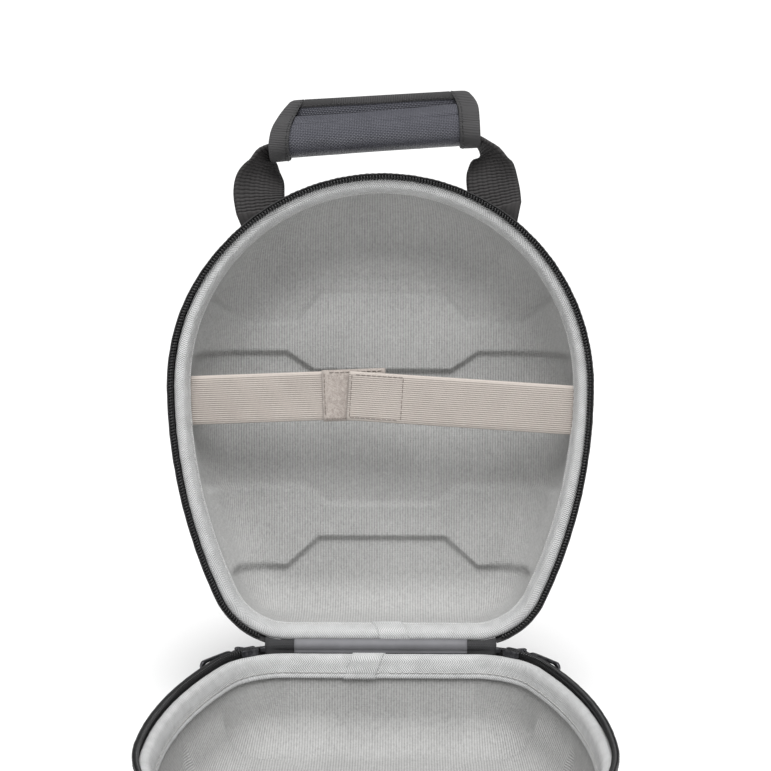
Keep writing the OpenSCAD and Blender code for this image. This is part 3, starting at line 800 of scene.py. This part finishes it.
def webbing_bend(side, angle):
    """From the wall the band bends outwards through a quarter turn and flattens."""
    radial, tangent = anchor_axes(side)
    foot = BEND_Z - BEND_R + sum(WEB_OUT) / 2
    curved = shell_point(angle, np.full(len(SPAN), foot), 0.0) * [1, 1, 0]
    straight = radial * WEB_ROOT + tangent * (SPAN * WEB_W / 2)[:, None]
    rows = []
    for a in np.linspace(0, math.pi / 2, 7)[1:]:
        flat = smoothstep(a / (math.pi / 2))
        base = curved * (1 - flat) + straight * flat
        rows.append(np.stack([base + radial * (BEND_R - (BEND_R - out) * math.cos(a))
                              + [0, 0, foot + (BEND_R - out) * math.sin(a)] for out in WEB_OUT]))
    return rows


def webbing_leg(side):
    """The free run up into the grip, which turns edge-on to the rim as it goes."""
    centre, across, width, thick = (catmull(np.reshape(column, (len(column), -1)), 5)
                                    for column in zip(*leg_keys(side)))
    way = heading(centre)
    across = unit(across - (across * way).sum(1)[:, None] * way)
    up = np.cross(way, across)
    up *= np.sign(up[0, 2]) * thick / 2      # the tail's inner face carries on as the face to the rim
    line = centre[:, None] + across[:, None] * (SPAN * width / 2)[..., None]
    return list(np.stack([line + up[:, None], line - up[:, None]], 1))


def webbing(side):
    """One end of the carry webbing: sewn to the shell, round its bend and up into the grip."""
    name = SIDES[side]
    half_a = WEB_W / 2 / FRONT_R
    middle_a = side * ANCHOR_A[side]
    angle = middle_a + SPAN * half_a
    tail = [np.stack([shell_point(angle, z, out) for out in WEB_OUT]) for z in np.linspace(7.5, 32, 12)]
    layers = np.array(tail + webbing_bend(side, angle) + webbing_leg(side))
    middle = layers.mean(1, keepdims=True)
    thinner = (1 - 0.55 * np.abs(SPAN) ** 16)[:, None]      # at the two woven edges
    layers = middle + (layers - middle) * thinner
    loop = np.concatenate([layers[:, 0], layers[:, 1, ::-1]], 1)
    uv = cloth_map(arc_length(middle[:, 0, len(SPAN) // 2]), there_and_back(SPAN * WEB_W / 2))
    radial, _ = anchor_axes(side)
    bend(skin(f"{name}_carry_webbing", WEB, on_face, loop, uv), ("lid", "handle"),
         on_face(radial * (WEB_ROOT + 1) + [0, 0, 33.5]), on_face(radial * (WEB_ROOT + 8) + [0, 0, BEND_Z]),
         "webbing", f"{name}_webbing_tail")

    # a box of stitches with a cross, through the tail and the shell
    top, low, reach = 29.5, 10.5, 0.8
    rows = []
    for leg in legs([(-reach, low), (-reach, top), (reach, top), (reach, low), (-reach, low),
                     (reach, top), (reach, low), (-reach, top)], 24):
        line = shell_point(middle_a + leg[:, 0] * half_a, leg[:, 1], WEB_OUT[1] + 0.03)
        rows.append((line, unit(line * [1, 1, 0])))
    sew(f"{name}_anchor_stitches", DARK_THREAD, on_face, "lid", "webbing", (2.2, 0.6, 0.24), rows)


def inner_webbing():
    """The webbing's middle, folded narrow inside the grip."""
    piece = grip_bar("inner_carry_webbing", WEB, INNER_L + 4, rounded(-4.5, -1.5, -7, 7, 0.6), 24, 0)
    dress(piece, "handle", "webbing", "handle_webbing")


# ---------- grip
def oval(angle, height, depth, power=0.85):
    """Points round an oval, fuller than an ellipse where power is below 1."""
    wave = np.stack([np.cos(angle), np.sin(angle)], -1)
    return np.sign(wave) * np.abs(wave) ** power * [height / 2, depth / 2]


def puff(piece, pinned, pressure=4.0, cap=1.6):
    """Fills a closed cloth skin, held where `pinned` says, and keeps the result within cap mm."""
    start = np.array([v.co for v in piece.data.vertices])
    group = piece.vertex_groups.new(name="held")
    group.add([k for k, held in enumerate(pinned(start)) if held], 1.0, "REPLACE")
    cloth = piece.modifiers.new("cloth", "CLOTH")
    for key, value in {"use_pressure": True, "uniform_pressure_force": pressure, "mass": 0.15,
                       "vertex_group_mass": "held", "tension_stiffness": 25,
                       "compression_stiffness": 25, "bending_stiffness": 1.5}.items():
        setattr(cloth.settings, key, value)
    cloth.settings.effector_weights.gravity = 0
    cloth.collision_settings.use_collision = False
    for k in range(1, 21):
        bpy.context.scene.frame_set(k)
    evaluated = piece.evaluated_get(bpy.context.evaluated_depsgraph_get())
    move = np.array([v.co for v in evaluated.data.vertices]) - start
    piece.modifiers.remove(cloth)
    piece.vertex_groups.clear()
    bpy.context.scene.frame_set(1)
    move *= np.minimum(1, cap * MM / np.maximum(np.linalg.norm(move, axis=1)[:, None], 1e-9))
    piece.data.vertices.foreach_set("co", (start + move).astype(np.float32).ravel())
    piece.data.update()


def modifier(piece, kind, **settings):
    """Adds a modifier and applies it."""
    made = piece.modifiers.new("step", kind)
    for key, value in settings.items():
        setattr(made, key, value)
    with bpy.context.temp_override(object=piece, active_object=piece):
        bpy.ops.object.modifier_apply(modifier="step")


def unwrap_grip(piece):
    """Lays the cloth map of a skin of quads along and round the grip."""
    p = np.array([v.co for v in piece.data.vertices]) / MM
    centre = on_grip((0, 0, 0))
    local = (p - centre) @ np.array([on_grip(v) - centre for v in np.eye(3)]).T
    corner = np.array([k.vertex_index for k in piece.data.loops]).reshape(-1, 4)
    angle = np.arctan2(local[:, 2], local[:, 1])[corner]
    angle = np.where(angle.max(1, keepdims=True) - angle > math.pi, angle + TURN, angle)
    uv = np.stack([local[corner, 0], angle * (GRIP_H + GRIP_D) / 4], -1) * MM
    layer = piece.data.uv_layers.get("cloth") or piece.data.uv_layers.new(name="cloth")
    layer.data.foreach_set("uv", uv.astype(np.float32).ravel())


def grip_cover():
    """The padded sleeve: a woven skin over foam, swelling between its taped ends."""
    angle = np.arange(40) / 40 * TURN
    half = GRIP_L / 2 - 0.6
    rows = []
    for x in np.concatenate([np.linspace(-half, -half + 9, 4), np.linspace(-half + 12, half - 12, 26),
                             np.linspace(half - 9, half, 4)]):
        near = 1 - 0.05 * np.exp(-(half - abs(x)) / 3)
        yz = oval(angle, (GRIP_H - 1.2) * near, (GRIP_D - 1.6) * near)
        yz -= [0.6 * math.cos(math.pi * x / GRIP_L), 0]
        rows.append(np.column_stack([0 * angle + x, yz]))
    cover = skin("grip_padded_cover", GRIP, on_grip, np.array(rows))
    modifier(cover, "REMESH", mode="VOXEL", voxel_size=0.0028, use_smooth_shade=True)
    centre = on_grip((0, 0, 0)) * MM
    along = (on_grip((1.0, 0, 0)) * MM - centre) / MM
    puff(cover, lambda p: np.abs((p - centre) @ along) > (half - 8) * MM)
    modifier(cover, "SMOOTH", factor=0.5, iterations=3)
    modifier(cover, "SUBSURF", levels=1)
    cover.data.polygons.foreach_set("use_smooth", [True] * len(cover.data.polygons))
    unwrap_grip(cover)
    dress(cover, "handle", "grip_fabric", "grip_cover", "grip_padding")


def end_section(angle, out):
    """The sleeve's taped end as [y, z]: its oval, drawn up at the top into the fin."""
    y, z = oval(angle, GRIP_H + 2 * out - 0.6, GRIP_D + 2 * out - 0.6).T
    slope = np.clip((np.abs(z - FIN_MID) - FIN_D / 2) / (GRIP_D / 2 - FIN_MID - FIN_D / 2), 0, 1)
    top = FIN_TOP - 0.6 + out
    drawn = top - (top - 2) * slope - 2.2 * np.sin(math.pi * slope)
    return np.column_stack([np.where(np.cos(angle) > 0, np.maximum(y, drawn), y), z])


def end_tape(side):
    """Ribbed tape folded over the sleeve's end, from below it to the top of the fin."""
    name = SIDES[side]
    angle = np.arange(72) / 72 * TURN
    x_in, x_out = GRIP_L / 2 - END_TAPE, GRIP_L / 2 + 0.5
    fold = [(x_in, 0.25), (x_in, 0.75), (x_in + 0.6, 1.0), (x_in + 3, 1.05), (x_out - 3, 1.0),
            (x_out - 0.9, 0.8), (x_out, 0.1), (x_out - 0.2, -1.2), (x_out - 1.2, -1.4),
            (x_out - 1.4, -0.4), (x_in + 3, 0.25)]
    curve = catmull(fold, 3, loop=True)
    p = np.array([np.column_stack([0 * angle + side * x, end_section(angle, out)]) for x, out in curve])
    tape = Build()
    tape.grid(p, cloth_map(closed_length(curve), closed_length(p[5]))[..., ::-1], loop_i=True, loop_j=True)

    # the folded layers that fill the tape beside the flap
    p, uv = bar(END_TAPE - 1.2, rounded(8.5, FIN_TOP - 1.2, -1.1, 3.8, 0.6), 6)
    tape.grid(p + [side * (x_in + x_out - 0.6) / 2, 0, 0], uv, loop_j=True, caps=True)
    dress(tape.make(f"{name}_grip_tape", GROSGRAIN, on_grip), "handle", "grip_tape",
          *(["grip_end_bindings"] if side < 0 else []))

    turns = np.linspace(0, TURN, 90)
    yz = end_section(turns, 1.1)
    path = np.column_stack([0 * turns + side * (x_in + 1.3), yz])
    normal = np.column_stack([0 * turns, unit(yz)])
    sew(f"{name}_grip_seam", DARK_THREAD, on_grip, "handle", "grip_tape", (2.2, 0.9, 0.22),
        [(path, normal)])


def bar(length, section, steps=60, wobble=0.0, phase=0.0):
    """A section of [y, z] carried along x, with a slight waviness."""
    x = np.linspace(-length / 2, length / 2, steps)[:, None]
    y, z = np.asarray(section, float).T
    p = np.stack([x + 0 * y, y + 0 * x, z + wobble * np.sin(x / 8 + phase)], -1)
    return p, cloth_map(x[:, 0], closed_length(np.column_stack([y, z])))


def grip_bar(name, material, *about):
    """A bar that lies in the grip's own frame."""
    return skin(name, material, on_grip, *bar(*about))


def rounded(y0, y1, z0, z1, r):
    """A rectangle with rounded corners, as [y, z] points."""
    r = min(r, (y1 - y0) / 2, (z1 - z0) / 2)
    corners = ((y1 - r, z1 - r), (y0 + r, z1 - r), (y0 + r, z0 + r), (y1 - r, z0 + r))
    quarter = np.linspace(0, math.pi / 2, 5)
    return np.vstack([np.column_stack([cy + r * np.cos(quarter + k * math.pi / 2),
                                       cz + r * np.sin(quarter + k * math.pi / 2)])
                      for k, (cy, cz) in enumerate(corners)])


def flap_cloth(length):
    """The sleeve's cloth carries on up the flap, creased where the flap folds."""
    outer = catmull([(7.5, 3.8), (9.2, 3.2), (10.6, 2.9), (12.2, 3.1), (15, 3.5), (17.8, 3.4)], 5)
    piece = grip_bar("grip_flap_cloth", GRIP, length, doubled(outer, 0.9), 60, 0.12)
    bend(piece, ("handle", "grip_flap"), on_grip((0, 10.3, 7.0)),
         on_grip((0, 13.0, 4.0)), "grip_fabric", "grip_flap")


def top_fold(length):
    """The sleeve's top edge, folded over in front of the flap; it sags a little and climbs to the right."""
    outer = catmull([(2.5, 9.4), (4.6, 10.4), (6.8, 10.3), (8.8, 9.1), (10.2, 7.6), (11.2, 6.6)], 4)
    p, uv = bar(length, doubled(outer, 1.3), 60, 0.1, 0.7)
    p[..., 1] += 0.02 * p[..., 0] - 0.5 * np.cos(math.pi * p[..., 0] / length)
    dress(skin("grip_top_fold", GRIP, on_grip, p, uv), "handle", "grip_fabric")


def grip_fin():
    """The fin on top of the grip: a fixed back and a flap that hook and loop hold shut."""
    length, top = GRIP_L - 2 * END_TAPE - 1, FIN_TOP
    for name, material, body, slot, nodes, shorter, section in (
            ("grip_fin_back", GRIP, "handle", "grip_fabric", [], 0, (9.2, top, -1.5, -0.1, 0.6)),
            ("grip_loop_tape", HOOK, "handle", "hook_and_loop", ["grip_loop_strip"], 4,
             (FIN_LOW + 0.3, top - 0.4, -0.1, 0.75, 0.2)),
            ("grip_hook_tape", HOOK, "grip_flap", "hook_and_loop", ["grip_hook_strip"], 4,
             (FIN_LOW + 0.6, top - 1.0, 1.15, 1.95, 0.2))):
        piece = grip_bar(name, material, length - shorter, rounded(*section), 60, 0.12)
        dress(piece, body, slot, *nodes)
    flap_cloth(length)
    top_fold(length)
    fold = [(-3.4, 3.55), (-3.4, 4.1), (-1.2, 4.2), (0.3, 3.4), (0.4, 2.6), (0.1, 1.6), (-1.0, 1.3),
            (-1.0, 1.7), (-0.4, 2.6), (-1.0, 3.5)]
    tape = grip_bar("grip_flap_tape", GROSGRAIN, length + 0.6, catmull(fold, 3, loop=True) + [top, 0],
                    80, 0.1, 1.0)
    dress(tape, "grip_flap", "grip_tape", "grip_flap_binding")
    x = np.linspace(-length / 2 + 1, length / 2 - 1, 80)
    path = np.column_stack([x, 0 * x + top - 2.8, 0 * x + 4.14])
    sew("grip_flap_seam", DARK_THREAD, on_grip, "grip_flap", "grip_tape", (2.4, 0.9, 0.22),
        [(path, 0 * path + [0, 0, 1])])


# ---------- elastic strap
LEFT_END = np.array([-(FRONT_R - WALL - LINING - 0.9) + 0.2, -8.3])
RIGHT_END = np.array([FRONT_R - 6.4, -12.4])
STRAP_OVER = np.array([-17.0, -5.2])
STRAP_UNDER = np.array([2.0, -4.4])


def band(name, material, a, b, low, thick, width, steps, edge=0.0, soft=0.0):
    """A flat band on the lid's face from a to b; edge makes its sides fuller, soft thins its two ends."""
    t = np.linspace(0, 1, steps)[:, None]
    along = b - a
    ends = 1 - soft * np.exp(-60 * np.minimum(t, 1 - t))
    side = width / 2 * (1 - 0.012 * (1 - ends)) * SPAN
    rise = (thick / 2 * ends * (1 - 0.75 * np.abs(SPAN) ** 14)
            + edge * np.exp(-((np.abs(SPAN) - 0.95) / 0.035) ** 2))
    side, rise = np.hstack([side, side[:, ::-1]]), np.hstack([rise, -rise[:, ::-1]])
    xy = (a + along * t)[:, None] + side[..., None] * unit(along[::-1] * [-1, 1])
    p = np.concatenate([xy, (low + thick / 2 + rise)[..., None]], -1)
    uv = np.stack([t * np.linalg.norm(along) + 0 * side, side], -1)
    return skin(name, material, on_face, p, np.concatenate([uv, uv[:, :1]], 1))


def box_of_stitches(name, body, corner, along, length, width, z):
    """A rectangle of stitches, with the middle of its first side at `corner`."""
    across = np.array([-along[1], along[0]])
    rows = []
    for leg in legs([(0, -width / 2), (length, -width / 2), (length, width / 2), (0, width / 2),
                     (0, -width / 2)], 20):
        xy = corner + along * leg[:, :1] + across * leg[:, 1:]
        rows.append((np.column_stack([xy, np.full(20, z)]), np.tile([0, 0, 1.0], (20, 1))))
    sew(name, BEIGE_THREAD, on_face, body, "elastic", (2.0, 0.7, 0.2), rows)


def strap():
    """The elastic's two halves, each sewn to the lid at its outer end, and their patches."""
    for name, a, b, z, sewn, free in (("left", LEFT_END, STRAP_UNDER, STRAP_Z, LEFT_END, STRAP_UNDER),
                                      ("right", STRAP_OVER, RIGHT_END, UPPER_Z, RIGHT_END, STRAP_OVER)):
        piece = band(f"{name}_elastic", ELASTIC, a, b, z, STRAP_T, STRAP_W, 60, edge=0.22)
        start, end = (on_face(np.append(sewn + (free - sewn) * t, z)) for t in (0, 0.05))
        bend(piece, ("lid", f"{name}_strap"), start, end, "elastic", f"{name}_strap")
    run, run_r = unit(STRAP_UNDER - LEFT_END), unit(RIGHT_END - STRAP_OVER)
    loop_from, low_z = STRAP_UNDER - run * 32, STRAP_Z + STRAP_T
    patch = {"thick": 1.1, "steps": 24, "soft": 0.35}
    loop = band("loop_pile_patch", LOOP, loop_from, STRAP_UNDER + run * 0.4, low_z,
                width=STRAP_W + 1.2, **patch)
    dress(loop, "left_strap", "loop_patch", "left_loop_patch")
    hook = band("hook_patch", LOOP, STRAP_OVER + run_r, STRAP_OVER + run_r * 28, UPPER_Z - 1.15,
                width=STRAP_W - 2, **patch)
    dress(hook, "right_strap", "loop_patch", "right_hook_patch")
    box_of_stitches("loop_patch_stitches", "left_strap", loop_from + run * 1.2, run, 29.5,
                    STRAP_W - 1.5, low_z + 1.12)
    box_of_stitches("hook_patch_stitches", "right_strap", STRAP_OVER + run_r * 1.4, run_r, 26,
                    STRAP_W - 3.2, UPPER_Z + STRAP_T + 0.02)


# ---------- sliders and end stops
SLIDER_X, SLIDER_Z = 66.0, 52.775
PLATE_IN, PLATE_T = 2.2, 1.1
PIN_X, PIN_OUT = -4.2, 4.8
PULL_LEAN, PULL_L = math.radians(22), 27.0
EYE_R, EYE_WIRE = 1.18, (0.34, 0.36)
HOLE = (2.6, 1.1)                # the tab's slot, half its length and half its width


def on_corner(side, x):
    """Places p on the outline's round corner at x: along the rim, outwards and up."""
    angle = math.acos((x - CORNER_X) / CORNER_R)
    n = np.array([math.cos(angle), math.sin(angle)])
    t = np.array([-n[1], n[0]])
    spot = np.array([CORNER_X, ARC_Y + CORNER_DROP]) + CORNER_R * n

    def place(p):
        q = spot + p[..., :1] * t + p[..., 1:2] * n
        return np.concatenate([q[..., :1] * side, q[..., 1:], p[..., 2:]], -1)
    return place


def layer(outline, y, grow):
    """An outline in x and z at height y, grown evenly."""
    x, z = (outline + unit(outline - outline.mean(0)) * grow).T
    return np.column_stack([x, 0 * x + y, z])


def plate(build, outline, y0, y1, r=0.3):
    """A plate with eased edges, from an outline in x and z."""
    up = ((y0, -r), (y0 + r * 0.3, -r * 0.3), (y0 + r, 0))
    down = ((y1 - r, 0), (y1 - r * 0.3, -r * 0.3), (y1, -r))
    build.grid(np.array([layer(outline, y, grow) for y, grow in up + down]), loop_j=True, caps=True)


def slider(side):
    """The zip's slider: two plates, the post between them and the crown that holds the pull."""
    name = SIDES[side]
    body = Build()
    plate(body, rounded(-5.5, 5.5, 50.3, 55.3, 1.8), PLATE_IN, PLATE_IN + PLATE_T)
    plate(body, rounded(-4.6, 4.6, 51.9, 55.3, 1.4), 1.3 - PLATE_IN - PLATE_T, 1.3 - PLATE_IN)
    plate(body, rounded(2.8, 4.6, 52.0, 55.2, 0.7), 0.9 - PLATE_IN, PLATE_IN + 0.3)
    arch = catmull([(PIN_X - 1.0, PLATE_IN + 0.6), (PIN_X - 0.9, PIN_OUT), (PIN_X, PIN_OUT + 0.75),
                    (PIN_X + 1.2, PIN_OUT + 0.5), (PIN_X + 3.0, PLATE_IN + 1.2)], 4)
    for z in (SLIDER_Z - 2.1, SLIDER_Z + 2.1):
        tube(body, np.column_stack([arch, np.full(len(arch), z)]), 0.5, 8)
    tube(body, [(PIN_X, PIN_OUT, SLIDER_Z - 2.4), (PIN_X, PIN_OUT, SLIDER_Z + 2.4)], 0.75, 14)
    dress(body.make(f"{name}_slider_body", METAL, on_corner(side, SLIDER_X)), "base", "slider_metal",
          f"{name}_slider")
    pull_tab(side, name)


def pull_tab(side, name):
    """The pull: a tab that narrows to its neck, slotted near its free end, with an eye round the pin."""
    c, s = math.cos(PULL_LEAN), math.sin(PULL_LEAN)

    def lean(p):
        q = np.stack([p[..., 0] * c - p[..., 1] * s, p[..., 0] * s + p[..., 1] * c, p[..., 2]], -1)
        return on_corner(side, SLIDER_X)(q + [PIN_X, PIN_OUT, SLIDER_Z])

    half = catmull([(-1.2, 1.35), (-4.0, 1.35), (-6.0, 2.3), (-12, 2.6), (3.2 - PULL_L, 2.6),
                    (1.2 - PULL_L, 2.2), (0.3 - PULL_L, 1.1), (-PULL_L, 0)], 3)
    outline = np.vstack([half, half[-2::-1] * [1, -1]])
    middle = np.array([5.2 - PULL_L, 0])
    turn = np.linspace(0, TURN, len(outline), endpoint=False)
    turn += math.atan2(outline[0, 1], outline[0, 0] - middle[0])
    hole = np.column_stack([np.cos(turn), np.sin(turn)]) * HOLE
    rows = [layer(outline, y, grow) for y, grow in ((-0.8, -0.25), (-0.55, 0), (0.55, 0), (0.8, -0.25))]
    rows += [layer(middle + hole * (1 + grow / 2), y, 0)
             for y, grow in ((0.8, 0.2), (0.5, 0), (-0.5, 0), (-0.8, 0.2))]
    tab = Build().grid(np.array(rows), loop_i=True, loop_j=True)
    turn = (np.arange(24) / 24 * TURN)[:, None]
    radial = np.column_stack([np.cos(turn), np.sin(turn), 0 * turn])
    wire = (EYE_WIRE[0] * np.cos(turn[::3]) * radial[:, None]
            + EYE_WIRE[1] * np.sin(turn[::3]) * [0, 0, 1.0])
    for z in (-0.95, -0.32, 0.32, 0.95):
        tab.grid(EYE_R * radial[:, None] + wire + [0, 0, z], loop_i=True, loop_j=True)
    dress(tab.make(f"{name}_pull_tab", METAL, lean), f"{name}_pull", "slider_metal", f"{name}_pull")


def end_stops():
    """Metal clamps over the last teeth, with a pressed waist."""
    for name, side, nodes in (("left", -1, ["zip_end_stops"]), ("right", 1, [])):
        rows = []
        for x in np.linspace(0.3, 2.7, 9):
            waist = 1.3 * (1 - 0.12 * math.cos((x - 1.5) / 1.2 * math.pi / 2))
            y, z = rounded(-waist, waist, 52.9, 55.2, 0.5).T
            rows.append(np.column_stack([0 * y + x, y + COIL_OUT, z]))
        clamp = skin(f"zip_stop_{name}", METAL, on_corner(side, CORNER_X + ZIP_PAST), np.array(rows))
        dress(clamp, "base", "slider_metal", *nodes)


# ---------- the case
for half in HALVES:
    moulded_half(half)
    binding(half)
    binding_lap(half)
    zip_half(half)
hinge_strip("hinge_strip", HINGE, "hinge_fabric", 116.4, 1.0, 0.8, 1.2, DEPTH - 9,
            ("base_hinge_leaf", "lid_hinge_leaf"))
hinge_strip("hinge_facing", FACING, "hinge_facing", 87.0, 0.1, 0.6, 2.1, DEPTH + 1.7,
            ("base_hinge_facing", "lid_hinge_facing"))
for side in SIDES:
    webbing(side)
    end_tape(side)
    slider(side)
inner_webbing()
grip_cover()
grip_fin()
strap()
end_stops()

# ---------- floor, light, camera
PITCH, YAW, FAR = math.radians(11.9), math.radians(0.8), 1.0
LENS, SHIFT = 93.011673, (0.00544747, 0.00129702)


def show(name, data):
    piece = bpy.data.objects.new(name, data)
    bpy.context.scene.collection.objects.link(piece)
    return piece


def aim(piece, way):
    piece.rotation_euler = Vector(way).to_track_quat("-Z", "Y").to_euler()


def studio_floor(reach=60.0):
    floor = show("studio_floor", bpy.data.meshes.new("studio_floor"))
    corners = [(-reach, -reach, 0), (reach, -reach, 0), (reach, reach, 0), (-reach, reach, 0)]
    floor.data.from_pydata(corners, [], [(0, 1, 2, 3)])
    floor.data.materials.append(plain_material("studio_floor", (0.86, 0.86, 0.86), (0.9, 0.9, 0.9),
                                               (3, 2), (60, 2), (0.0, 1.0), 0.75))
    floor.location.z = -0.0004


def lights():
    """A white room, a wide soft sun from above the camera and a small soft lamp for the grip."""
    world = bpy.data.worlds.new("studio")
    world.use_nodes = True
    world.node_tree.nodes["Background"].inputs["Color"].default_value = (1, 1, 1, 1)
    world.node_tree.nodes["Background"].inputs["Strength"].default_value = 0.6
    bpy.context.scene.world = world
    sky = show("sky", bpy.data.lights.new("sky", "SUN"))
    sky.data.energy, sky.data.angle = 2.9, math.radians(38)
    aim(sky, (-0.1, 0.66, -1.15))
    lamp = show("grip_light", bpy.data.lights.new("grip_light", "AREA"))
    lamp.data.energy, lamp.data.shape, lamp.data.size = 1.6, "SQUARE", 0.35
    lamp.location = (-0.15, -0.35, 0.95)
    aim(lamp, Vector(on_face((0, 128, 36)) * MM) - lamp.location)


def camera():
    """Level with the lid, looking a little down into the case."""
    eye = show("camera", bpy.data.cameras.new("camera"))
    eye.data.sensor_width, eye.data.lens = 36.0, LENS
    eye.data.shift_x, eye.data.shift_y = SHIFT
    back = Vector((math.sin(YAW) * math.cos(PITCH), -math.cos(YAW) * math.cos(PITCH), math.sin(PITCH)))
    eye.location = Vector(on_face((0, 0, DEPTH)) * MM) + back * FAR
    aim(eye, -back)
    bpy.context.scene.camera = eye
    bpy.context.scene.view_settings.view_transform = "Standard"


studio_floor()
lights()
camera()
